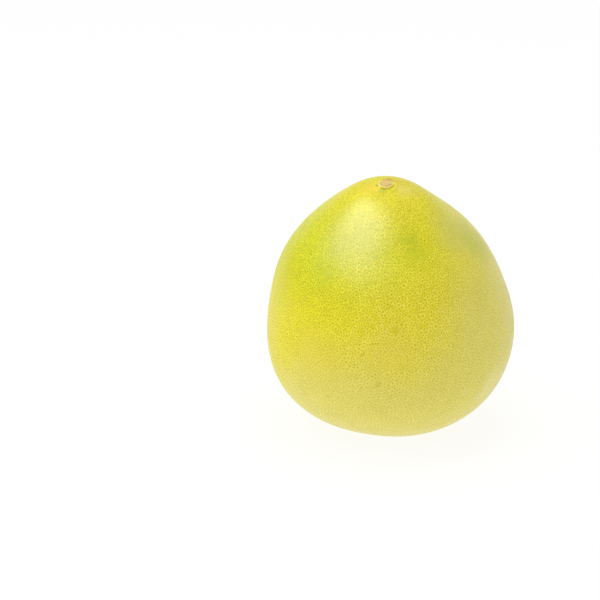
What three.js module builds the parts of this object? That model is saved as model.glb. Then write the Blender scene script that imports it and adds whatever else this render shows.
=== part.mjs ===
// A whole pomelo, as picked: a heavy, blunt-topped citrus fruit with the dried calyx and the
// cut stub of its stalk still on the stem end. Millimetres, +Z up. It rests on the small flat
// spot that its own weight has pressed into the rind, with its stem end leaning to the front.

import * as THREE from "three";
import { mergeVertices } from "three/addons/utils/BufferGeometryUtils.js";

// ---- Driving dimensions: the fruit ----

// Distance from the fruit's centre to its skin, in even steps of 22.5 degrees from the middle
// of the stem end to the middle of the blossom end.
const SKIN_RADII = [96.5, 88, 81.5, 77.5, 77, 76, 72.5, 68.5, 69];

// How far the stem end leans from upright, in degrees: to the left (-X) and the front (-Y).
const LEAN_LEFT = 2.6;
const LEAN_FRONT = 12.5;

// Height of the fruit's centre above the surface that it rests on. It is a little less than
// the radius there, which leaves a flat spot about 28 mm across.
const CENTRE_HEIGHT = 67.8;
// The flat spot runs into the round rind over this much height.
const FLAT_SPOT_BLEND = 0.8;

// Broad swellings (height above 0) and flats (height below 0) that every grown fruit has.
// The place is an angle down from straight up and an angle round from +X, and the width is
// the angle over which the swelling falls away. Angles in degrees.
const SWELLINGS = [
  { name: "right collar", down: 22, round: 350, height: -1.9, width: 16 },
  { name: "right shoulder", down: 48, round: 0, height: -2.7, width: 28 },
  { name: "left shoulder", down: 48, round: 180, height: -0.7, width: 30 },
  { name: "left flank", down: 92, round: 180, height: -2.0, width: 24 },
  { name: "right belly", down: 125, round: 0, height: 2.0, width: 40 },
  { name: "left foot", down: 128, round: 180, height: 3.0, width: 25 },
  { name: "right foot", down: 150, round: 0, height: 3.0, width: 30 },
  { name: "back shoulder", down: 55, round: 110, height: 1.2, width: 35 },
  { name: "back flank", down: 95, round: 65, height: -1.6, width: 28 },
];

// The shallow hollow that the stalk sits in, and the dimple of the fallen blossom at the
// other end: depth, and the angle from the fruit's axis over which each fades away.
const STEM_HOLLOW = { depth: 1.6, width: 7 };
const BLOSSOM_DIMPLE = { depth: 1.2, width: 6 };

const RINGS = 42;
const SECTORS = 72;

// ---- Driving dimensions: the stem end ----

// Clearance that parts the rind, the calyx and the stalk.
const SEAT_GAP = 0.3;

// The dried calyx is a low button with five blunt lobes and a raised rim.
const CALYX_RADIUS = 4.6;
const CALYX_HEIGHT = 1.5;
const CALYX_LOBES = 5;
const CALYX_LOBE_SHARE = 0.03;
const CALYX_SIDES = 60;

// The stalk was cut off level with the button, and its cut face is a little sunk.
const STALK_RADIUS = 2.6;
const STALK_HEIGHT = 1.35;
const STALK_DISH = 0.2;
const STALK_SIDES = 36;

// ---- Materials ----

const RIND = { color: 0xd8ce50, roughness: 0.42, metalness: 0 };
const DRIED_CALYX = { color: 0xe2c488, roughness: 0.8, metalness: 0 };
const CUT_STALK = { color: 0xb49a58, roughness: 0.85, metalness: 0 };

// ---- The fruit's skin ----

const radians = THREE.MathUtils.degToRad;
const UP = new THREE.Vector3(0, 0, 1);

// The line from the fruit's centre to the middle of its stem end.
const FRUIT_AXIS = new THREE.Vector3(
  -Math.tan(radians(LEAN_LEFT)),
  -Math.tan(radians(LEAN_FRONT)),
  1,
).normalize();
const LEAN = new THREE.Quaternion().setFromUnitVectors(UP, FRUIT_AXIS);

// Unit vector at an angle down from +Z and an angle round from +X, both in radians.
function direction(down, round) {
  return new THREE.Vector3().setFromSphericalCoords(1, down, round + Math.PI / 2).applyAxisAngle(
    new THREE.Vector3(1, 0, 0),
    Math.PI / 2,
  );
}

// Weights of the cosines 1, cos(a), cos(2a) ... whose sum passes through every given radius.
function cosineWeights(radii) {
  const last = radii.length - 1;
  return radii.map((_, order) => {
    const sum = radii.reduce((total, radius, step) => {
      const share = step === 0 || step === last ? 0.5 : 1;
      return total + share * radius * Math.cos((Math.PI * step * order) / last);
    }, 0);
    return (sum * (order === 0 || order === last ? 1 : 2)) / last;
  });
}

const SKIN_WEIGHTS = cosineWeights(SKIN_RADII);

function profileRadius(angle) {
  return SKIN_WEIGHTS.reduce((total, weight, order) => total + weight * Math.cos(order * angle), 0);
}

function swellingHeight(heading) {
  return SWELLINGS.reduce((total, { down, round, height, width }) => {
    const nearness = heading.dot(direction(radians(down), radians(round))) - 1;
    return total + height * Math.exp(nearness / (1 - Math.cos(radians(width))));
  }, 0);
}

function hollowDepth(angle, { depth, width }) {
  return depth * Math.exp(-((angle / radians(width)) ** 2));
}

// Where z is well below 0 the skin lies flat on 0, and it rises from there in a smooth bend.
function restingHeight(z) {
  const bend = Math.max(0, 1 - Math.abs(z) / FLAT_SPOT_BLEND);
  return Math.max(z, 0) + (FLAT_SPOT_BLEND / 4) * bend ** 2;
}

// Point on the skin, by its angle from the stem end and its angle round the fruit's axis.
function skinPoint(angle, round) {
  const heading = direction(angle, round).applyQuaternion(LEAN);
  const hollows = hollowDepth(angle, STEM_HOLLOW) + hollowDepth(Math.PI - angle, BLOSSOM_DIMPLE);
  const point = heading.clone().multiplyScalar(
    profileRadius(angle) + swellingHeight(heading) - hollows,
  );
  point.z = restingHeight(point.z + CENTRE_HEIGHT);
  return point;
}

// Rings of points round the fruit's axis, closed by one point at each end.
function fruitGeometry() {
  const points = [skinPoint(0, 0)];
  for (let ring = 1; ring < RINGS; ring += 1) {
    for (let sector = 0; sector < SECTORS; sector += 1) {
      points.push(skinPoint((Math.PI * ring) / RINGS, (2 * Math.PI * sector) / SECTORS));
    }
  }
  points.push(skinPoint(Math.PI, 0));

  const at = (ring, sector) => 1 + (ring - 1) * SECTORS + (sector % SECTORS);
  const faces = [];
  for (let sector = 0; sector < SECTORS; sector += 1) {
    faces.push(0, at(1, sector), at(1, sector + 1));
    for (let ring = 1; ring < RINGS - 1; ring += 1) {
      faces.push(at(ring, sector), at(ring + 1, sector), at(ring + 1, sector + 1));
      faces.push(at(ring, sector), at(ring + 1, sector + 1), at(ring, sector + 1));
    }
    faces.push(at(RINGS - 1, sector), points.length - 1, at(RINGS - 1, sector + 1));
  }
  const geometry = new THREE.BufferGeometry().setFromPoints(points);
  geometry.setIndex(faces);
  return geometry;
}

// ---- The stem end ----

// Centre and outward direction of the rind under the calyx's rim.
function stemSeat() {
  const rim = CALYX_RADIUS / SKIN_RADII[0];
  const [right, back, left, front] = [0, 1, 2, 3].map((quarter) =>
    skinPoint(rim, (quarter * Math.PI) / 2),
  );
  const outward = right.clone().sub(left).cross(back.clone().sub(front)).normalize();
  return { centre: skinPoint(0, 0), outward };
}

// An outline of [radius, height] pairs turned round +Z.
function turned(outline, sides) {
  const points = outline.map(([radius, height]) => new THREE.Vector2(radius, height));
  return new THREE.LatheGeometry(points, sides).rotateX(Math.PI / 2);
}

// The button: a turned ring whose outside swells at each of its five lobes.
function calyxGeometry() {
  const hole = STALK_RADIUS + SEAT_GAP;
  const rim = (CALYX_RADIUS + hole) / 2;
  const outline = [
    [hole, 0],
    [CALYX_RADIUS * 0.96, 0],
    [CALYX_RADIUS, CALYX_HEIGHT * 0.3],
    [CALYX_RADIUS * 0.99, CALYX_HEIGHT * 0.7],
    [CALYX_RADIUS * 0.93, CALYX_HEIGHT * 0.95],
    [rim, CALYX_HEIGHT],
    [hole * 1.08, CALYX_HEIGHT * 0.85],
    [hole, CALYX_HEIGHT * 0.75],
    [hole, 0],
  ];
  const ring = turned(outline, CALYX_SIDES);
  const points = ring.attributes.position;
  for (let index = 0; index < points.count; index += 1) {
    const [x, y] = [points.getX(index), points.getY(index)];
    const outside = Math.max(0, Math.hypot(x, y) - hole) / (CALYX_RADIUS - hole);
    const lobes = Math.cos(CALYX_LOBES * Math.atan2(y, x));
    const swell = 1 + CALYX_LOBE_SHARE * outside * lobes;
    points.setXY(index, x * swell, y * swell);
  }
  return ring;
}

// The cut stalk: a straight wall, a soft edge and a dished cut face.
function stalkGeometry() {
  const outline = [
    [0, 0],
    [STALK_RADIUS, 0],
    [STALK_RADIUS, STALK_HEIGHT * 0.85],
    [STALK_RADIUS * 0.93, STALK_HEIGHT],
    [STALK_RADIUS * 0.5, STALK_HEIGHT - STALK_DISH * 0.7],
    [0, STALK_HEIGHT - STALK_DISH],
  ];
  return turned(outline, STALK_SIDES);
}

// ---- Assembly ----

function piece(name, geometry, look) {
  geometry.deleteAttribute("normal");
  geometry.deleteAttribute("uv");
  const solid = mergeVertices(geometry, 1e-4);
  solid.computeVertexNormals();
  const mesh = new THREE.Mesh(solid, new THREE.MeshStandardMaterial(look));
  mesh.name = name;
  return mesh;
}

function stemEnd() {
  const { centre, outward } = stemSeat();
  const group = new THREE.Group();
  group.add(piece("calyx", calyxGeometry(), DRIED_CALYX));
  group.add(piece("stem_stub", stalkGeometry(), CUT_STALK));
  group.quaternion.setFromUnitVectors(UP, outward);
  group.position.copy(centre).addScaledVector(outward, SEAT_GAP);
  return group;
}

function pomelo() {
  const fruit = piece("fruit", fruitGeometry(), RIND);
  const group = new THREE.Group();
  group.add(fruit, stemEnd());

  // The origin is under the middle of the fruit, on the surface that it rests on.
  const middle = new THREE.Box3().setFromObject(fruit).getCenter(new THREE.Vector3());
  group.position.set(-middle.x, -middle.y, 0);
  return group;
}

export default pomelo();
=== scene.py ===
"""Whole pomelo: a pitted, waxy rind with its dried calyx and cut stalk, on a lit white floor."""

import math

import bpy
import numpy as np
from mathutils import Matrix, Vector
from mathutils.geometry import delaunay_2d_cdt


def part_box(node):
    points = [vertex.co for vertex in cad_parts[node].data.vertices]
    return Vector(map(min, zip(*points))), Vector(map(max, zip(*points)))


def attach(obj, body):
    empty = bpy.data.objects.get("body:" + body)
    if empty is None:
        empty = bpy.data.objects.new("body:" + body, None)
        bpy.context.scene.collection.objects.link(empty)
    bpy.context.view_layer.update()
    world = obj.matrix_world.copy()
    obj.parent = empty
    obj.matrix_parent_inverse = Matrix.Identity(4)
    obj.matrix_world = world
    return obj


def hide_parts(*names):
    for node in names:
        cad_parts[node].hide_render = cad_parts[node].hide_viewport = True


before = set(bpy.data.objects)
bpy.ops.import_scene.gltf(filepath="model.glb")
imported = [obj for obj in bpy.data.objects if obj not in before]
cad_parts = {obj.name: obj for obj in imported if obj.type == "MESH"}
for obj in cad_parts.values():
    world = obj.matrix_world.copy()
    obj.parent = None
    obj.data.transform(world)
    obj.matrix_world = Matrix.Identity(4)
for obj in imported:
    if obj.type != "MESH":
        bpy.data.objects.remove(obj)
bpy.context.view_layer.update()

bl_info = {
    "name": "Pomelo",
    "version": (1, 0, 0),
    "blender": (4, 5, 0),
    "location": "View3D > Sidebar > Pomelo",
    "description": "Dresses a pomelo: gland-pitted rind, dried calyx, cut stalk and a studio stage",
    "category": "Object",
}

MM = 0.001
GOLDEN_ANGLE = math.pi * (3 - math.sqrt(5))

# Broad swellings and flats of the fruit: the angle down from straight up, the angle round
# from +X, the height, and the angle over which it falls away. The CAD solid has the same.
SWELLINGS = {
    "right collar": (22, 350, -1.9 * MM, 16),
    "right shoulder": (48, 0, -2.7 * MM, 28),
    "left shoulder": (48, 180, -0.7 * MM, 30),
    "left flank": (92, 180, -2.0 * MM, 24),
    "right belly": (125, 0, 2.0 * MM, 40),
    "left foot": (128, 180, 3.0 * MM, 25),
    "right foot": (150, 0, 3.0 * MM, 30),
    "back shoulder": (55, 110, 1.2 * MM, 35),
    "back flank": (95, 65, -1.6 * MM, 28),
}

# Patches of rind with a tint of their own, round the stalk and further down, among them painted
# shade beside and under the button and on the right shoulder, a painted highlight on the left
# shoulder and a painted reflection at the lower right: the way from the stalk to the middle of
# each, the distances at which it starts to fade and is gone, its strength and its colour.
PATCHES = {
    "amber left": ((-0.0095, -0.001, -0.001), 0.001, 0.0095, 0.7, (0.98, 0.74, 0.05)),
    "cream right": ((0.012, -0.003, -0.003), 0.002, 0.010, 0.55, (0.88, 0.74, 0.14)),
    # Darker green just under the button: partly green rind, partly painted shade under its rim.
    "green front and painted shade": ((-0.0010, -0.0058, -0.0015), 0.000, 0.0042, 0.6, (0.42, 0.50, 0.01)),
    # A dark crescent hugging the button's left edge: painted shadow.
    "painted shadow left": ((-0.0046, -0.0002, -0.0010), 0.000, 0.0016, 0.5, (0.36, 0.36, 0.02)),
    "russet back": ((0.002, 0.0065, 0.001), 0.002, 0.0055, 0.85, (0.72, 0.42, 0.05)),
    "russet right": ((0.008, 0.0065, 0.000), 0.001, 0.0045, 0.7, (0.80, 0.52, 0.08)),
    # A paler, greyer patch where the lamp's reflection falls on the left shoulder: painted
    # highlight.
    "painted highlight shoulder": ((-0.0206, -0.024, -0.022), 0.005, 0.030, 0.38, (0.50, 0.54, 0.13)),
    # Darker, greyer rind on the right shoulder, where less light falls: painted shade.
    "painted shade shoulder": ((0.0400, -0.012, -0.024), 0.004, 0.024, 0.50, (0.69, 0.65, 0.15)),
    "green band": ((0.0165, -0.034, -0.031), 0.000, 0.013, 0.40, (0.52, 0.60, 0.004)),
    # Darker green at the right shoulder's rim: partly green rind, partly painted shade.
    "green shoulder and painted shade": ((0.0545, 0.000, -0.035), 0.004, 0.022, 0.50, (0.50, 0.56, 0.03)),
    "green neck": ((0.0122, -0.030, -0.023), 0.000, 0.011, 0.35, (0.50, 0.58, 0.004)),
    "green flank": ((-0.0365, -0.030, -0.043), 0.000, 0.015, 0.35, (0.52, 0.61, 0.004)),
    "yellow flank": ((-0.0605, -0.007, -0.057), 0.004, 0.020, 0.35, (0.78, 0.68, 0.004)),
    "amber belly": ((0.002, -0.056, -0.086), 0.003, 0.021, 0.32, (0.84, 0.65, 0.09)),
    "amber flank": ((-0.042, -0.041, -0.089), 0.003, 0.023, 0.30, (0.86, 0.67, 0.06)),
    # Whiter rind at the lower right rim: painted reflection of the white floor.
    "painted reflection foot": ((0.064, -0.023, -0.119), 0.002, 0.017, 0.40, (0.90, 0.84, 0.30)),
}

# Healed scratches and scuffs in the rind: the angles down from straight up and round from +X
# to the middle of each, how far its length is twisted from level, its half length and half
# width, its strength and its colour.
MARKS = {
    "long scratch": (80, 261, 8, 4.6 * MM, 0.6 * MM, 0.7, (0.64, 0.54, 0.004)),
    "short scratch": (85, 256, 60, 1.8 * MM, 0.9 * MM, 0.6, (0.66, 0.50, 0.004)),
    "star scuff": (99, 263, 20, 2.4 * MM, 1.6 * MM, 0.55, (0.66, 0.57, 0.004)),
    "amber scuff": (102, 255, 75, 2.0 * MM, 1.0 * MM, 0.4, (0.74, 0.58, 0.01)),
    "left scuff": (109, 238, 15, 2.2 * MM, 0.8 * MM, 0.6, (0.66, 0.58, 0.01)),
    "bare spot": (74, 270, 30, 2.2 * MM, 1.8 * MM, 0.7, (0.70, 0.60, 0.01)),
    "olive fleck": (45, 259, 30, 2.4 * MM, 1.2 * MM, 0.5, (0.50, 0.54, 0.004)),
}
MARK_DEPTH = 4 * MM

# Lamps: azimuth from +X, elevation, distance from the fruit, width and height, watts, and
# whether each only shows in reflections (glossy) or only lights the fruit (diffuse).
LAMPS = {
    "left_card": (203, 58.5, 0.9, (1.0, 0.58), 14.9, "glossy"),
    "left_softbox": (192, 20, 1.1, (1.0, 1.0), 2.2, "diffuse"),
    "overhead_softbox": (180, 80, 1.3, (1.5, 1.5), 4.9, "diffuse"),
}


# ---- Sizes and colours -----------------------------------------------------------------


def length(name, description, default):
    """A length property, in metres."""
    return bpy.props.FloatProperty(
        name=name, description=description, default=default, unit="LENGTH", precision=5
    )


def angle(name, description, degrees):
    """An angle property, given in degrees and kept in radians."""
    return bpy.props.FloatProperty(
        name=name, description=description, default=math.radians(degrees), subtype="ANGLE"
    )


def number(name, description, default):
    """A property that is a plain number."""
    return bpy.props.FloatProperty(name=name, description=description, default=default)


def count(name, description, default):
    """A property that is a whole number."""
    return bpy.props.IntProperty(name=name, description=description, default=default, min=0)


def colour(name, description, default):
    """A linear RGB colour property."""
    return bpy.props.FloatVectorProperty(
        name=name, description=description, default=default, subtype="COLOR", min=0, max=1
    )


class PomeloForm(bpy.types.PropertyGroup):
    """The fruit's form. It repeats the driving dimensions of the CAD solid, in metres."""

    skin_radii: bpy.props.FloatVectorProperty(
        name="Skin radii",
        description="Distance from the centre to the skin, in even steps from stem to blossom end",
        size=9,
        default=(0.0965, 0.088, 0.0815, 0.0775, 0.077, 0.076, 0.0725, 0.0685, 0.069),
        unit="LENGTH",
    )
    lean_left: angle("Lean left", "How far the stem end leans towards -X", 2.6)
    lean_front: angle("Lean front", "How far the stem end leans towards -Y", 12.5)
    centre_height: length("Centre height", "Height of the fruit's centre over the floor", 0.0678)
    flat_spot_blend: length("Flat spot blend", "Height of the bend round the flat spot", 0.0008)
    stem_hollow: length("Stem hollow", "Depth of the hollow round the stalk", 0.0016)
    stem_hollow_width: angle("Stem hollow width", "Angle over which the hollow fades", 7)
    blossom_dimple: length("Blossom dimple", "Depth of the dimple at the blossom end", 0.0012)
    blossom_dimple_width: angle("Blossom dimple width", "Angle over which it fades", 6)


class PomeloRind(bpy.types.PropertyGroup):
    """The oil glands in the rind and its colours."""

    glands: count("Glands", "Number of oil glands over the whole rind", 23500)
    seed: count("Seed", "Seed of the glands' layout", 7)
    scatter: number("Scatter", "How far glands stray from even spacing, as a share of it", 0.50)
    crowding: number("Crowding", "How much closer glands stand at the stem end than midway", 0.6)
    gland_depth: length("Gland depth", "Depth of a middling gland's pit", 0.00012)
    unevenness: length("Unevenness", "Height of the rind's low lumps", 0.0002)
    bare_stem_end: length("Bare stem end", "Radius round the stalk that has no glands", 0.0055)
    bare_blossom_end: length("Bare blossom end", "Radius of the scar with no glands", 0.0028)
    welt: length("Welt", "Height of the welt that the rind makes round the button", 0.0007)
    welt_radius: length("Welt radius", "Radius of that welt", 0.0055)
    lime: colour("Lime", "Greener rind, on the upper half", (0.63, 0.675, 0.003))
    yellow: colour("Yellow", "Riper rind, lower down", (0.845, 0.725, 0.004))
    # Straw also stands in for painted light: bounce from the floor underneath and a sheen on the
    # right.
    straw: colour("Straw", "Palest rind, underneath and on the right", (0.80, 0.70, 0.115))
    cream: colour("Cream", "Lighter tint of the net between the glands", (0.94, 0.65, 0.15))
    butter: colour("Butter", "The same on the greener side", (0.97, 0.74, 0.01))
    gland: colour("Gland", "Tint of the rind over a gland", (0.60, 0.60, 0.02))
    scar: colour("Scar", "Dry scar at the blossom end", (0.22, 0.15, 0.05))


class PomeloStemEnd(bpy.types.PropertyGroup):
    """The dried calyx and the cut stalk."""

    calyx_seed: count("Calyx seed", "Seed of the button's uneven edge and wrinkles", 11)
    stalk_seed: count("Stalk seed", "Seed of the stalk's uneven edge and torn fibres", 5)
    seat_gap: length("Seat gap", "Clearance between rind, calyx and stalk", 0.0003)
    calyx_radius: length("Calyx radius", "Middle radius of the calyx button", 0.0046)
    calyx_height: length("Calyx height", "Height of the button's raised rim", 0.0015)
    stalk_radius: length("Stalk radius", "Radius of the cut stalk", 0.0026)
    stalk_height: length("Stalk height", "Height of the cut stalk over its seat", 0.00135)
    stalk_dish: length("Stalk dish", "How far the cut face is sunk", 0.0003)
    skirt: colour("Skirt", "Foot of the button, still green", (0.82, 0.74, 0.08))
    bark: colour("Bark", "Smooth rim of the button", (0.98, 0.76, 0.24))
    dry: colour("Dry sepal", "Dried parts of the button", (0.55, 0.36, 0.09))
    wood: colour("Wood", "Cut face of the stalk", (0.78, 0.60, 0.15))
    pith: colour("Pith", "Middle of the cut face", (0.64, 0.50, 0.11))


class PomeloStudio(bpy.types.PropertyGroup):
    """The floor, the lamps and the camera."""

    lens: number("Lens", "Focal length in millimetres", 100)
    distance: length("Distance", "From the camera to the point that it looks at", 1.032)
    elevation: angle("Elevation", "Height of the camera over the horizon", 20)
    aim_left: length("Aim left", "How far left of the fruit's middle the camera looks", 0.0562)
    aim_height: length("Aim height", "Height of the point that the camera looks at", 0.0809)
    surround: number("Surround", "Strength of the white light from all round", 0.40)
    ceiling: number("Ceiling", "How much stronger it is from overhead", 0.45)
    floor_size: length("Floor size", "Side of the floor", 6.0)
    floor: colour("Floor", "Colour of the floor", (0.94, 0.94, 0.94))
    floor_white: number("Floor white", "Strength of the light from the lit floor", 1.05)
    floor_lit: number("Floor lit", "Share of the floor that is that light, and not paint", 0.82)


# ---- Meshes ----------------------------------------------------------------------------


def heading(down, turn):
    """Unit vectors (sin d cos t, sin d sin t, cos d), d down from +Z and t round from +X."""
    return np.stack(
        [np.sin(down) * np.cos(turn), np.sin(down) * np.sin(turn), np.cos(down)], axis=-1
    )


def unit(vectors):
    """The vectors scaled to length 1."""
    return vectors / np.linalg.norm(vectors, axis=-1, keepdims=True)


def smooth_step(values, low, high):
    """0 below low, 1 above high, and 3t^2 - 2t^3 between."""
    t = np.clip((values - low) / (high - low), 0, 1)
    return t * t * (3 - 2 * t)


def lean_matrix(form):
    """Turns +Z onto the line from the fruit's centre to its stem end, by the shortest way."""
    stem = Vector((-math.tan(form.lean_left), -math.tan(form.lean_front), 1)).normalized()
    return np.array(Vector((0, 0, 1)).rotation_difference(stem).to_matrix())


def profile_radius(form, from_stem):
    """Distance to the skin of a fruit with no swellings: the sum of cosines of the angle from
    the stem end that passes through each of the evenly spaced skin radii."""
    radii = np.array(form.skin_radii)
    last = len(radii) - 1
    steps = np.arange(last + 1)
    ends = np.where((steps == 0) | (steps == last), 0.5, 1.0)
    cosines = np.cos(np.pi * np.outer(steps, steps) / last)
    weights = 2 / last * ends * (cosines @ (ends * radii))
    return np.cos(np.multiply.outer(from_stem, steps)) @ weights


def skin_radius(form, directions):
    """Distance from the fruit's centre to its smooth skin, along unit vectors: the profile's
    radius, plus height * exp((cos g - 1) / (1 - cos width)) for each swelling at the angle g
    away, less depth * exp(-(angle / width)^2) for the hollow at either end."""
    from_stem = np.arccos(np.clip(directions @ lean_matrix(form)[:, 2], -1, 1))
    radius = profile_radius(form, from_stem)
    for down, turn, height, width in SWELLINGS.values():
        centre = heading(math.radians(down), math.radians(turn))
        radius += height * np.exp((directions @ centre - 1) / (1 - math.cos(math.radians(width))))
    radius -= form.stem_hollow * np.exp(-((from_stem / form.stem_hollow_width) ** 2))
    from_blossom = np.pi - from_stem
    radius -= form.blossom_dimple * np.exp(-((from_blossom / form.blossom_dimple_width) ** 2))
    return radius


def settle(form, points):
    """Stands points measured from the fruit's centre on the floor: z becomes max(z, 0), with a
    bend of blend / 4 * (1 - |z| / blend)^2 where it runs into the flat spot."""
    settled = points + (0, 0, form.centre_height)
    height = settled[..., 2]
    bend = np.clip(1 - np.abs(height) / form.flat_spot_blend, 0, None)
    settled[..., 2] = np.maximum(height, 0) + form.flat_spot_blend / 4 * bend**2
    return settled


def frame_shift(form):
    """From the smooth skin's own middle to the middle of the CAD fruit, along X and Y."""
    down, turn = np.meshgrid(np.linspace(0, np.pi, 361), np.linspace(0, 2 * np.pi, 721))
    directions = heading(down, turn)
    points = settle(form, directions * skin_radius(form, directions)[..., None]).reshape(-1, 3)
    low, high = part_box("fruit")
    middle = (points.min(0) + points.max(0)) / 2
    return np.array([(low.x + high.x) / 2 - middle[0], (low.y + high.y) / 2 - middle[1], 0])


def skin_place(form, down, turn, twist):
    """A point on the smooth skin, by its direction from the fruit's centre in degrees, and the
    Euler angles of axes that lie there: X level and then twisted, Z outwards."""
    out = heading(math.radians(down), math.radians(turn))
    point = settle(form, out * skin_radius(form, out[None])) + frame_shift(form)
    across = Vector(unit(np.cross((0, 0, 1), out)))
    axes = Matrix((across, Vector(out).cross(across), Vector(out))).transposed()
    turned = axes @ Matrix.Rotation(math.radians(twist), 3, "Z")
    return tuple(point.ravel()), tuple(turned.to_euler())


def blossom_angles(form):
    """The direction of the blossom end from the fruit's centre, down and round in degrees."""
    x, y, z = -lean_matrix(form)[:, 2]
    return math.degrees(math.acos(z)), math.degrees(math.atan2(y, x))


def add_mesh(name, points, faces, attributes=()):
    """A smooth-shaded object from an array of points and arrays of faces, one array for each
    number of corners. Attributes are pairs of a name and one number for each point."""
    mesh = bpy.data.meshes.new(name)
    corners = np.concatenate([face.ravel() for face in faces]).astype(np.int32)
    totals = np.concatenate([np.full(len(face), face.shape[1]) for face in faces])
    starts = np.concatenate([[0], np.cumsum(totals)[:-1]])
    mesh.vertices.add(len(points))
    mesh.vertices.foreach_set("co", points.astype(np.float32).ravel())
    mesh.loops.add(len(corners))
    mesh.loops.foreach_set("vertex_index", corners)
    mesh.polygons.add(len(totals))
    mesh.polygons.foreach_set("loop_start", starts.astype(np.int32))
    mesh.polygons.foreach_set("loop_total", totals.astype(np.int32))
    mesh.polygons.foreach_set("use_smooth", np.ones(len(totals), bool))
    mesh.update(calc_edges=True)
    for label, values in attributes:
        attribute = mesh.attributes.new(label, "FLOAT", "POINT")
        attribute.data.foreach_set("value", values.astype(np.float32).ravel())
    if mesh.validate():
        raise RuntimeError(f"{name} has faulty faces")
    piece = bpy.data.objects.new(name, mesh)
    bpy.context.scene.collection.objects.link(piece)
    return piece


def net_triangles(directions):
    """Joins points on a sphere to their neighbours by a Delaunay net, anticlockwise seen from
    outside. The last point is the bottom pole. Seen from there, the others fall on the plane
    at (x, y) / (1 + z), where circles stay circles, so a flat Delaunay net of them is the net
    on the sphere, and the pole closes the hole inside its outer edge."""
    flat = directions[:-1, :2] / (1 + directions[:-1, 2:])
    corners = [Vector(point) for point in flat.tolist()]
    out_to_hull, closeness = 0, 1e-9
    triangles = np.array(delaunay_2d_cdt(corners, [], [], out_to_hull, closeness)[2])
    a, b, c = directions[triangles].transpose(1, 0, 2)
    inward = np.einsum("ij,ij->i", np.cross(b - a, c - a), a) < 0
    triangles[inward] = triangles[inward][:, ::-1]
    _, numbers = triangle_edges(triangles)
    open_sides = np.bincount(numbers.ravel())[numbers] == 1
    near = triangles[open_sides]
    far = np.roll(triangles, -1, axis=1)[open_sides]
    pole = np.full(len(near), len(directions) - 1)
    return np.concatenate([triangles, np.stack([far, near, pole], axis=-1)])


def triangle_edges(triangles):
    """The edges as pairs with the lower number first, and for each triangle the number of the
    edge that leaves each of its corners."""
    sides = np.stack([triangles, np.roll(triangles, -1, axis=1)], axis=-1).reshape(-1, 2)
    edges, numbers = np.unique(np.sort(sides, axis=1), axis=0, return_inverse=True)
    return edges, numbers.reshape(-1, 3)


def even_spiral(form, rind):
    """Gland directions in the fruit's own frame, with its stem end up: a spiral of golden-angle
    steps down to the blossom end. The skin that each gland has grows by a share of the cosine
    of the angle from the stem, so that glands crowd at the stem end."""
    from_stem = np.linspace(0, np.pi, 2001)
    crowd = 1 + rind.crowding * np.cos(from_stem)
    wanted = np.cumsum(np.sin(from_stem) * profile_radius(form, from_stem) ** 2 * crowd)
    gland = np.arange(rind.glands) + 0.5
    down = np.interp(gland / rind.glands * wanted[-1], wanted, from_stem)
    return heading(down, gland * GOLDEN_ANGLE)


def scattered_glands(form, rind, rng):
    """The even spiral and the bottom pole, with each gland moved at random and then twice
    towards the middle of its neighbours, so that the spacing is uneven but no two run
    together. Returns directions and the net that joins them."""
    own_pull, middle_pull = 0.45, 0.55
    spacing = math.sqrt(4 * math.pi / rind.glands)
    directions = even_spiral(form, rind)
    directions = unit(directions + rng.normal(0, rind.scatter * spacing, directions.shape))
    directions = np.concatenate([directions, [[0, 0, -1]]])
    for _ in range(2):
        edges, _ = triangle_edges(net_triangles(directions))
        total = np.zeros_like(directions)
        for near, far in (edges.T, edges.T[::-1]):
            np.add.at(total, near, directions[far])
        neighbours = np.bincount(edges.ravel())[:, None]
        moved = own_pull * directions + middle_pull * total / neighbours
        directions[:-1] = unit(moved)[:-1]
    return directions, net_triangles(directions)


def low_lumps(directions, rng):
    """Mostly between -1 and 1: a sixth of the sum of 24 sines along random lines, each with two
    to five waves to the fruit."""
    waves = 24
    lines = unit(rng.normal(size=(waves, 3))) * rng.uniform(6, 16, (waves, 1))
    starts = rng.uniform(0, 2 * np.pi, waves)
    return np.sin(directions @ lines.T + starts).sum(axis=1) / 6


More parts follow.
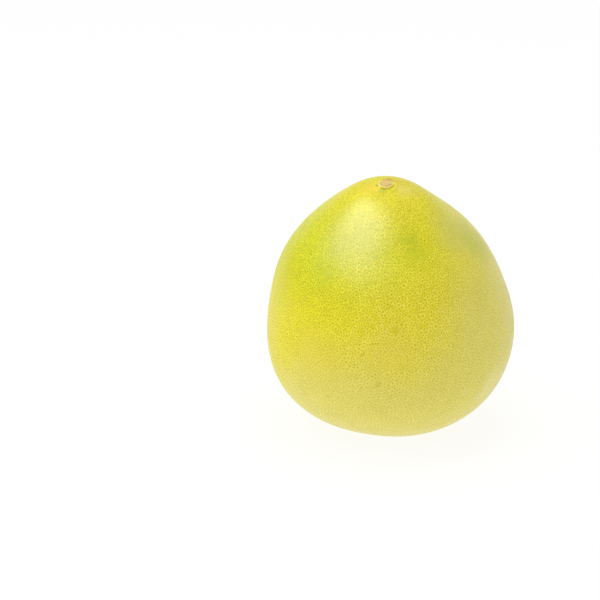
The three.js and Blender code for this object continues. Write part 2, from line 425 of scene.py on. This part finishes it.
def rind_mesh(form, rind):
    """The rind, with a pit for every oil gland.

    Each gland is a point of a Delaunay net over the fruit, sunk by the gland's depth. The rims
    of two neighbours meet on the edge between them, nearer to the smaller one, at a point that
    stands on the skin. Round the stalk the skin rises by welt * exp(-((r - radius) / width)^2),
    where r is the distance from the fruit's axis and the width is a third of the radius."""
    rng = np.random.default_rng(rind.seed)
    lean = lean_matrix(form)
    glands, triangles = scattered_glands(form, rind, rng)
    glands = glands @ lean.T
    edges, edge_numbers = triangle_edges(triangles)
    size = rng.uniform(0.75, 1.2, len(glands))

    near, far = edges.T
    rim_share = (size[near] / (size[near] + size[far]))[:, None]
    rims = unit(glands[near] + rim_share * (glands[far] - glands[near]))
    directions = np.concatenate([glands, rims])

    radius = skin_radius(form, directions)
    from_axis = radius * np.linalg.norm(np.cross(directions, lean[:, 2]), axis=1)
    at_stem = directions @ lean[:, 2] > 0
    bare = np.where(at_stem, rind.bare_stem_end, rind.bare_blossom_end)[: len(glands)]
    present = smooth_step(from_axis[: len(glands)] / bare, 0.85, 1.25)
    sunk = np.concatenate([rind.gland_depth * size * present, np.zeros(len(rims))])
    lumps = rind.unevenness * low_lumps(directions, rng)
    from_welt = (from_axis - rind.welt_radius) / (rind.welt_radius / 3)
    welt = at_stem * rind.welt * np.exp(-(from_welt**2))
    distance = radius + lumps + welt - sunk
    points = settle(form, directions * distance[:, None]) + frame_shift(form)

    rim_ab, rim_bc, rim_ca = (len(glands) + edge_numbers).T
    a, b, c = triangles.T
    faces = np.concatenate(
        [
            np.stack([a, rim_ab, rim_ca], -1),
            np.stack([b, rim_bc, rim_ab], -1),
            np.stack([c, rim_ca, rim_bc], -1),
            np.stack([rim_ab, rim_bc, rim_ca], -1),
        ]
    )
    gland = np.concatenate([present, np.zeros(len(rims))])
    tone = rng.uniform(0, 1, len(glands))
    tone = np.concatenate([tone, tone[edges].mean(axis=1)])
    return add_mesh("rind_skin", points, [faces], [("gland", gland), ("gland_tone", tone)])


def stem_seat(form, stem):
    """Where the button meets the rind: the point, and rows that point along the seat's local
    X, Y and Z, with Z straight out of the rind under the button's rim."""
    rim = stem.calyx_radius / form.skin_radii[0]
    down = np.array([rim, rim, rim, rim, 0])
    turns = np.array([0, 1, 2, 3, 0]) * np.pi / 2
    directions = heading(down, turns) @ lean_matrix(form).T
    points = settle(form, directions * skin_radius(form, directions)[:, None])
    right, back, left, front, centre = points
    out = unit(np.cross(right - left, back - front))
    across = unit(np.cross((0, 1, 0), out))
    axes = np.stack([across, np.cross(out, across), out])
    return centre + frame_shift(form) + out * stem.seat_gap, axes


def grid_faces(rows, columns, closed_rows=False):
    """Quads over a grid of points whose columns run round and meet."""
    row = np.arange(rows if closed_rows else rows - 1)[:, None]
    left = np.arange(columns)[None, :]
    right = (left + 1) % columns
    here = row * columns
    below = (row + 1) % rows * columns
    quads = np.stack([here + left, here + right, below + right, below + left], axis=-1)
    return quads.reshape(-1, 4)


def ragged(turn, waves, rng):
    """A mean of cosines round the stalk, each with its own number of waves and random start."""
    starts = rng.uniform(0, 2 * np.pi, len(waves))
    return sum(np.cos(times * turn + start) for times, start in zip(waves, starts)) / len(waves)


def calyx_mesh(form, stem):
    """The calyx button: a closed ring whose section is a rounded box, at the point
    (sign(cos a) |cos a|^0.5, sign(sin a) |sin a|^0.5). Its outside swells by 0.03 cos(5 turn)
    and by uneven waves, its top sinks from the raised rim to the hole, and both are wrinkled."""
    corner = 0.5
    rng = np.random.default_rng(stem.calyx_seed)
    rows, columns = 40, 240
    around = np.linspace(0, 2 * np.pi, rows, endpoint=False)[:, None]
    turn = np.linspace(0, 2 * np.pi, columns, endpoint=False)[None, :]
    outward = 0.5 - 0.5 * np.sign(np.cos(around)) * np.abs(np.cos(around)) ** corner
    upward = 0.5 + 0.5 * np.sign(np.sin(around)) * np.abs(np.sin(around)) ** corner
    hole = stem.stalk_radius + 0.3 * stem.seat_gap
    lobes = 0.03 * np.cos(5 * turn) + 0.03 * ragged(turn, (2, 3, 7, 11), rng)
    folds = 0.008 * ragged(turn, (19, 27, 38), rng)
    outer = stem.calyx_radius * (1 + lobes + folds)
    radius = hole + (outer - hole) * outward
    rim = np.sin(np.pi * np.clip(outward * 1.15 - 0.08, 0, 1)) ** 1.5
    uneven = 0.12 * ragged(turn, (2, 3, 5, 8), rng) + 0.05 * ragged(turn, (17, 23, 31), rng)
    height = stem.calyx_height * (0.70 + 0.26 * rim + uneven) * upward
    local = np.stack([radius * np.cos(turn), radius * np.sin(turn), height], axis=-1)
    seat, axes = stem_seat(form, stem)
    points = local.reshape(-1, 3) @ axes + seat
    faces = grid_faces(rows, columns, closed_rows=True)
    edge = np.broadcast_to(outward, local.shape[:2])
    return add_mesh("calyx_collar", points, [faces], [("edge", edge)])


def stalk_mesh(form, stem):
    """The cut stalk: closed rings of points from the middle of the cut face to its rim, down
    the wall and in to the middle of the foot. The face is sunk by dish * cos(pi / 2 * r)^2 at
    the share r of its radius, and is rough with torn fibres that run outwards."""
    rng = np.random.default_rng(stem.stalk_seed)
    columns, face_rings, wall_rings = 160, 30, 6
    turn = np.linspace(0, 2 * np.pi, columns, endpoint=False)[None, :]
    face = np.linspace(0.04, 1, face_rings)
    across = np.concatenate([face, np.ones(wall_rings), [0.5, 0.02]])[:, None]
    wall = np.linspace(0.85, 0, wall_rings)
    up = np.concatenate([np.ones(face_rings), wall, [0, 0]])[:, None]
    dish = stem.stalk_dish * np.cos(np.pi / 2 * across) ** 2
    fibres = 0.10 * MM * ragged(turn + 2 * across, (4, 7, 13, 19), rng) * np.minimum(2 * across, 1)
    waves = 0.03 * ragged(turn, (2, 3, 5), rng)
    radius = stem.stalk_radius * across * (1 + waves * across)
    height = (stem.stalk_height - dish + fibres) * up
    local = np.stack([radius * np.cos(turn), radius * np.sin(turn), height], axis=-1)
    body = local.reshape(-1, 3)
    ends = np.array([(0, 0, height[0].mean()), (0, 0, 0)])
    seat, axes = stem_seat(form, stem)
    points = np.concatenate([body, ends]) @ axes + seat
    first = np.arange(columns)
    last = len(body) - columns + first
    top = np.stack([np.full(columns, len(body)), first, np.roll(first, -1)], -1)
    foot = np.stack([np.full(columns, len(body) + 1), np.roll(last, -1), last], -1)
    quads = grid_faces(len(local), columns)[:, ::-1]
    out = np.broadcast_to(across + 1 - up, local.shape[:2]).ravel()
    part = np.concatenate([out, [0, 2]])
    return add_mesh("stalk_stub", points, [quads, top, foot], [("part", part)])


# ---- Materials -------------------------------------------------------------------------


class Wire:
    """A node's output that can stand in a sum: each operator adds the Math node for it."""

    def __init__(self, graph, socket):
        self.graph = graph
        self.socket = socket

    def _math(self, operation, *values):
        return self.graph.node("ShaderNodeMath", {"operation": operation}, values)

    def __add__(self, other):
        return self._math("ADD", self, other)

    def __sub__(self, other):
        return self._math("SUBTRACT", self, other)

    def __rsub__(self, other):
        return self._math("SUBTRACT", other, self)

    def __mul__(self, other):
        return self._math("MULTIPLY", self, other)

    __radd__ = __add__
    __rmul__ = __mul__


class Graph:
    """A node tree that is put together from empty, for a material or the world."""

    def __init__(self, tree):
        self.nodes = tree.nodes
        self.links = tree.links
        self.nodes.clear()
        self.place = self.node("ShaderNodeTexCoord", output="Object")

    def node(self, kind, settings=None, inputs=(), output=0):
        """Adds a node: its settings first, then its sockets' values or links, given in order
        or by name. Returns the wire of one output, or the node where it has none."""
        node = self.nodes.new(kind)
        for name, value in (settings or {}).items():
            setattr(node, name, value)
        named = inputs.items() if isinstance(inputs, dict) else enumerate(inputs)
        for name, value in named:
            if isinstance(value, Wire):
                self.links.new(value.socket, node.inputs[name])
            else:
                node.inputs[name].default_value = value
        return Wire(self, node.outputs[output]) if len(node.outputs) else node

    def step(self, value, low, high):
        """0 below low and 1 above high, with a smooth rise between."""
        settings = {"interpolation_type": "SMOOTHSTEP"}
        return self.node(
            "ShaderNodeMapRange", settings, {"Value": value, "From Min": low, "From Max": high}
        )

    def noise(self, scale, detail, roughness=0.5):
        """Soft noise with a mean of about a half; scale is in waves to the metre."""
        values = {
            "Vector": self.place,
            "Scale": scale,
            "Detail": detail,
            "Roughness": roughness,
        }
        return self.node("ShaderNodeTexNoise", {}, values)

    def mix(self, factor, base, other, blend="MIX"):
        """The base with another colour mixed in by a factor, or blended in as blend says."""
        colours = [value if isinstance(value, Wire) else (*value, 1) for value in (base, other)]
        settings = {"data_type": "RGBA", "blend_type": blend}
        return self.node(
            "ShaderNodeMix", settings, {0: factor, 6: colours[0], 7: colours[1]}, 2
        )

    def attribute(self, name):
        """A number kept on the mesh."""
        return self.node("ShaderNodeAttribute", {"attribute_name": name}, output="Fac")

    def along(self, direction, start=(0, 0, 0)):
        """Distance from a start, measured along a direction."""
        shifted = self.node("ShaderNodeVectorMath", {"operation": "SUBTRACT"}, (self.place, start))
        return self.node(
            "ShaderNodeVectorMath", {"operation": "DOT_PRODUCT"}, (shifted, direction), "Value"
        )

    def distance(self, point):
        """Distance from a point."""
        return self.node(
            "ShaderNodeVectorMath", {"operation": "DISTANCE"}, (self.place, point), "Value"
        )

    def reach(self, centre, turns, half_sizes):
        """Distance from the centre of a turned ellipsoid, counted in its own half sizes."""
        placing = {"Vector": self.place, "Location": centre, "Rotation": turns, "Scale": half_sizes}
        local = self.node("ShaderNodeMapping", {"vector_type": "TEXTURE"}, placing)
        return self.node("ShaderNodeVectorMath", {"operation": "LENGTH"}, (local,), "Value")

    def bump(self, height, strength, distance):
        """A normal bent by a height."""
        return self.node(
            "ShaderNodeBump", {}, {"Height": height, "Strength": strength, "Distance": distance}
        )

    def spread(self, direction, low, high):
        """0 to 1 by how nearly a place lies along a direction from the middle: 0 where the
        cosine of the angle between them is low, 1 where it is high."""
        return self.step(self.along(direction), low, high)


class Finish(Graph):
    """A material that is put together from nodes."""

    def __init__(self, name):
        self.material = bpy.data.materials.new(name)
        self.material.use_nodes = True
        super().__init__(self.material.node_tree)

    def surface(self, **inputs):
        """The Principled shader and the output. Values are given by socket name, with _ for
        a space."""
        values = {name.replace("_", " "): value for name, value in inputs.items()}
        shader = self.node("ShaderNodeBsdfPrincipled", {}, values)
        self.node("ShaderNodeOutputMaterial", {}, {"Surface": shader})
        return self.material


def box_middle(node):
    """The middle of a CAD node's box."""
    low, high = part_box(node)
    return (low + high) / 2


def ripening_and_painted_light(finish, rind, from_stem):
    """The colour under the glands: lime on the upper left, yellow towards the stalk and the belly,
    straw at the foot and on the right, where the lighter colour is partly the rind's own and
    partly painted light: bounce from the floor at the foot and a sheen on the right. Returns it
    with two masks: how far it is straw and painted light, and how creamy the net between the
    glands is."""
    centre = tuple(box_middle("fruit"))
    drift = (finish.noise(24, 3) - 0.5) * 0.030
    height = finish.along((-0.15, 0.0, 0.98), centre) + drift
    rightward = finish.along((0.97, 0.0, -0.24), centre) + drift
    green = finish.step(height, 0.004, 0.055) * finish.step(from_stem + drift, 0.005, 0.060)
    green = green * (1 - finish.step(rightward, -0.035, 0.010) * 0.6)
    ground = finish.mix(green, tuple(rind.yellow), tuple(rind.lime))
    # Lighter at the foot: partly the rind's own colour, partly painted bounce light from the floor.
    foot = 1 - finish.step(finish.along((0.12, 0.0, 0.98), centre) + drift, -0.036, 0.004)
    foot = foot * finish.step(rightward, -0.064, -0.044)
    # Lighter on the right: partly the rind's own colour, partly a painted sheen.
    straw_and_sheen_right = finish.step(rightward, 0.006, 0.045)
    pale_and_painted_light = 1 - (1 - foot) * (1 - straw_and_sheen_right)
    creamy = finish.step(rightward, -0.055, -0.010) * (1 - finish.step(height, 0.005, 0.055) * 0.75)
    return finish.mix(pale_and_painted_light, ground, tuple(rind.straw)), pale_and_painted_light, creamy


def gland_pattern(finish, rind, ground, pale_and_painted_light, creamy, near_stem):
    """The ground with faint clouds, a lighter mottled net between the glands and a darker dot
    on each of them. Returns the colour and the dots."""
    gland = finish.attribute("gland")
    tone = finish.attribute("gland_tone")
    clouds = finish.step(finish.noise(90, 5, 0.62), 0.35, 0.65)
    # Clouds, net and dots fade where the rind turns straw, partly under painted sheen and bounce
    # light.
    shade = clouds * (0.18 - pale_and_painted_light * 0.09) + near_stem * 0.12
    ground = finish.mix(shade, ground, tuple(rind.gland), "MULTIPLY")
    mottle = finish.step(finish.noise(760, 4, 0.6), 0.36, 0.64)
    net = (1 - finish.step(gland, 0.05, 0.58)) * 0.82 + near_stem * 0.25 + 0.02
    light = finish.mix(creamy, tuple(rind.butter), tuple(rind.cream))
    ground = finish.mix(mottle * net * (1 - pale_and_painted_light * 0.4), ground, light, "SCREEN")
    dots = finish.step(gland, 0.40, 0.82) * (tone * 0.7 + 0.34) * (1 - pale_and_painted_light * 0.55)
    dots = dots * (1 - near_stem * 0.45)
    return finish.mix(dots, ground, tuple(rind.gland), "MULTIPLY"), dots


def blemishes_and_painted_light(finish, form, rind, skin, stem_point):
    """The skin with its tinted patches, some of them painted shade, a painted highlight and a
    painted reflection, its healed marks and the scar at the blossom end, all with uneven edges."""
    wobble = (finish.noise(160, 3) - 0.5) * 0.010
    for way, fade_start, fade_end, strength, tint in PATCHES.values():
        reach = finish.distance(tuple(stem_point + Vector(way))) + wobble
        patch = 1 - finish.step(reach, fade_start, fade_end)
        skin = finish.mix(patch * strength, skin, tint)
    for down, turn, twist, half_length, half_width, strength, tint in MARKS.values():
        frayed = finish.noise(900, 3) * 1.4 + 0.3
        place, turns = skin_place(form, down, turn, twist)
        reach = finish.reach(place, turns, (half_length, half_width, MARK_DEPTH)) * frayed
        skin = finish.mix((1 - finish.step(reach, 0.6, 1.1)) * strength, skin, tint)
    blossom, _ = skin_place(form, *blossom_angles(form), 0)
    scar = 1 - finish.step(finish.distance(blossom) + wobble * 0.1, 0.0016, 0.0034)
    return finish.mix(scar, skin, tuple(rind.scar))


def rind_finish(form, rind):
    """Waxy rind: its ground colours, its glands, its patches and marks, with painted shade, a
    painted highlight, a painted reflection and painted light at the foot and on the right among its
    colours, a fine grain in the wax and a duller gloss over the glands."""
    finish = Finish("pomelo_rind")
    stem_point = box_middle("stem_stub")
    from_stem = finish.distance(tuple(stem_point))
    near_stem = 1 - finish.step(from_stem, 0.020, 0.070)
    ground, pale_and_painted_light, creamy = ripening_and_painted_light(finish, rind, from_stem)
    skin, dots = gland_pattern(finish, rind, ground, pale_and_painted_light, creamy, near_stem)
    skin = blemishes_and_painted_light(finish, form, rind, skin, stem_point)
    grain = finish.noise(1500, 3) * 0.7 + finish.noise(500, 2) * 0.3
    rough = finish.noise(90, 3) * 0.12 + 0.26 + dots * 0.1
    return finish.surface(
        Base_Color=skin,
        Roughness=rough,
        IOR=1.36,
        Normal=finish.bump(grain, 0.8, 0.0002),
    )


def calyx_finish(stem):
    """The button: a smooth cream rim, drier brown patches towards the hole and a greener foot."""
    finish = Finish("dried_calyx")
    edge = finish.attribute("edge")
    fibres = finish.noise(900, 4)
    patches = finish.step(finish.noise(420, 2) - edge * 0.35, 0.12, 0.42)
    tint = finish.mix(patches * 0.45, tuple(stem.bark), tuple(stem.dry))
    tint = finish.mix(fibres * 0.3, tint, (0.80, 0.62, 0.20))
    tint = finish.mix(finish.step(edge + fibres * 0.1, 0.88, 1.0), tint, tuple(stem.skirt))
    return finish.surface(
        Base_Color=tint, Roughness=0.7, Normal=finish.bump(fibres, 0.5, 0.0002)
    )


def stalk_finish(stem):
    """Cut stalk: tan wood with brown blotches round a darker pith."""
    finish = Finish("cut_stalk")
    part = finish.attribute("part")
    grain = finish.noise(1100, 4)
    blotch = finish.step(finish.noise(560, 2), 0.46, 0.62)
    tint = finish.mix(finish.step(part, 0.15, 0.55), tuple(stem.pith), tuple(stem.wood))
    tint = finish.mix(blotch * 0.45, tint, tuple(stem.dry))
    tint = finish.mix(grain * 0.35, tint, tuple(stem.bark))
    return finish.surface(
        Base_Color=tint, Roughness=0.75, Normal=finish.bump(grain, 0.6, 0.0003)
    )


# ---- Stage -----------------------------------------------------------------------------


def ray_kind(graph, name):
    """1 for rays of one kind and 0 for the others."""
    return graph.node("ShaderNodeLightPath", output=f"Is {name} Ray")


def floor_finish(studio):
    """A lit white floor, like a light table, that still takes a little of the fruit's shadow."""
    finish = Finish("floor_white")
    paint = finish.node("ShaderNodeBsdfDiffuse", {}, {"Color": (*studio.floor, 1)})
    light = finish.node("ShaderNodeEmission", {}, {"Strength": studio.floor_white})
    shader = finish.node("ShaderNodeMixShader", {}, (studio.floor_lit, paint, light))
    finish.node("ShaderNodeOutputMaterial", {}, {"Surface": shader})
    return finish.material


def add_surround(studio):
    """White light all round, strongest from overhead. The camera and whatever is seen through
    glass find it plain white, and so does a reflection of the backdrop behind the fruit."""
    world = bpy.data.worlds.new("surround")
    world.use_nodes = True
    bpy.context.scene.world = world
    graph = Graph(world.node_tree)
    strength = graph.spread((0, 0, 1), 0.2, 0.9) * studio.ceiling + studio.surround
    behind = graph.spread((0.26, 0.96, 0), 0.3, 0.9) * (1 - graph.spread((0, 0, 1), 0.05, 0.35))
    seen = ray_kind(graph, "Camera") + ray_kind(graph, "Transmission")
    seen = ray_kind(graph, "Glossy") * behind + seen
    lit = graph.node("ShaderNodeBackground", {}, {"Color": (1, 1, 1, 1), "Strength": strength})
    white = graph.node("ShaderNodeBackground", {}, {"Color": (1, 1, 1, 1), "Strength": 1.0})
    surface = graph.node("ShaderNodeMixShader", {}, (seen, lit, white))
    graph.node("ShaderNodeOutputWorld", {}, {"Surface": surface})


def add_lamp(name, target, azimuth, elevation, distance, size, power, rays):
    """A flat soft lamp that looks at the target. Azimuth is round from +X."""
    lamp = bpy.data.lights.new(name, "AREA")
    lamp.shape = "RECTANGLE"
    lamp.size, lamp.size_y = size
    lamp.energy = power
    way = Vector(heading(math.radians(90 - elevation), math.radians(azimuth)))
    holder = bpy.data.objects.new(name, lamp)
    holder.location = target + way * distance
    holder.rotation_euler = way.to_track_quat("Z", "Y").to_euler()
    holder.visible_camera = False
    holder.visible_diffuse = rays != "glossy"
    holder.visible_glossy = rays != "diffuse"
    bpy.context.scene.collection.objects.link(holder)


def add_camera(studio):
    """The camera, in front of the fruit and above it, looking to the left of its middle."""
    camera = bpy.data.cameras.new("camera")
    camera.lens = studio.lens
    holder = bpy.data.objects.new("camera", camera)
    low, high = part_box("fruit")
    target = Vector(((low.x + high.x) / 2 - studio.aim_left, 0, studio.aim_height))
    back = Vector((0, -math.cos(studio.elevation), math.sin(studio.elevation)))
    holder.location = target + back * studio.distance
    holder.rotation_euler = back.to_track_quat("Z", "Y").to_euler()
    bpy.context.scene.collection.objects.link(holder)
    bpy.context.scene.camera = holder


# ---- Operators -------------------------------------------------------------------------


class POMELO_OT_rind(bpy.types.Operator):
    """Make the rind, with a pit for every oil gland"""

    bl_idname = "pomelo.rind"
    bl_label = "Rind"

    def execute(self, context):
        scene = context.scene
        piece = rind_mesh(scene.pomelo_form, scene.pomelo_rind)
        piece.data.materials.append(rind_finish(scene.pomelo_form, scene.pomelo_rind))
        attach(piece, "root")
        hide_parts("fruit")
        return {"FINISHED"}


class POMELO_OT_calyx(bpy.types.Operator):
    """Make the dried calyx round the stalk"""

    bl_idname = "pomelo.calyx"
    bl_label = "Calyx"

    def execute(self, context):
        scene = context.scene
        piece = calyx_mesh(scene.pomelo_form, scene.pomelo_stem_end)
        piece.data.materials.append(calyx_finish(scene.pomelo_stem_end))
        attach(piece, "root")
        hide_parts("calyx")
        return {"FINISHED"}


class POMELO_OT_stalk(bpy.types.Operator):
    """Make the cut stub of the stalk"""

    bl_idname = "pomelo.stalk"
    bl_label = "Cut stalk"

    def execute(self, context):
        scene = context.scene
        piece = stalk_mesh(scene.pomelo_form, scene.pomelo_stem_end)
        piece.data.materials.append(stalk_finish(scene.pomelo_stem_end))
        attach(piece, "root")
        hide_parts("stem_stub")
        return {"FINISHED"}


class POMELO_OT_stage(bpy.types.Operator):
    """Set the floor, the surround, the lamps and the camera"""

    bl_idname = "pomelo.stage"
    bl_label = "Stage"

    def execute(self, context):
        scene = context.scene
        studio = scene.pomelo_studio
        half = studio.floor_size / 2
        corners = np.array([(-half, -half, 0), (half, -half, 0), (half, half, 0), (-half, half, 0)])
        floor = add_mesh("floor", corners, [np.array([[0, 1, 2, 3]])])
        floor.data.materials.append(floor_finish(studio))
        add_surround(studio)
        middle = Vector((0, 0, studio.aim_height))
        for name, settings in LAMPS.items():
            add_lamp(name, middle, *settings)
        add_camera(studio)
        scene.view_settings.view_transform = "Standard"
        return {"FINISHED"}


PANEL_ROWS = (
    ("pomelo_form", ()),
    ("pomelo_rind", ("pomelo.rind",)),
    ("pomelo_stem_end", ("pomelo.calyx", "pomelo.stalk")),
    ("pomelo_studio", ("pomelo.stage",)),
)


class POMELO_PT_panel(bpy.types.Panel):
    """The pomelo's pieces and their sizes"""

    bl_label = "Pomelo"
    bl_idname = "POMELO_PT_panel"
    bl_space_type = "VIEW_3D"
    bl_region_type = "UI"
    bl_category = "Pomelo"

    def draw(self, context):
        for group, operators in PANEL_ROWS:
            box = self.layout.box()
            settings = getattr(context.scene, group)
            for name in settings.__annotations__:
                box.prop(settings, name)
            for operator in operators:
                box.operator(operator)


GROUPS = {
    "pomelo_form": PomeloForm,
    "pomelo_rind": PomeloRind,
    "pomelo_stem_end": PomeloStemEnd,
    "pomelo_studio": PomeloStudio,
}

OPERATORS = (POMELO_OT_stage, POMELO_OT_rind, POMELO_OT_calyx, POMELO_OT_stalk)


def register():
    for name, group in GROUPS.items():
        bpy.utils.register_class(group)
        setattr(bpy.types.Scene, name, bpy.props.PointerProperty(type=group))
    for item in (*OPERATORS, POMELO_PT_panel):
        bpy.utils.register_class(item)


def unregister():
    for item in (POMELO_PT_panel, *reversed(OPERATORS)):
        bpy.utils.unregister_class(item)
    for name, group in reversed(GROUPS.items()):
        delattr(bpy.types.Scene, name)
        bpy.utils.unregister_class(group)


def main():
    """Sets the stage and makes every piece."""
    register()
    bpy.ops.pomelo.stage()
    bpy.ops.pomelo.rind()
    bpy.ops.pomelo.calyx()
    bpy.ops.pomelo.stalk()


if __name__ == "__main__":
    main()
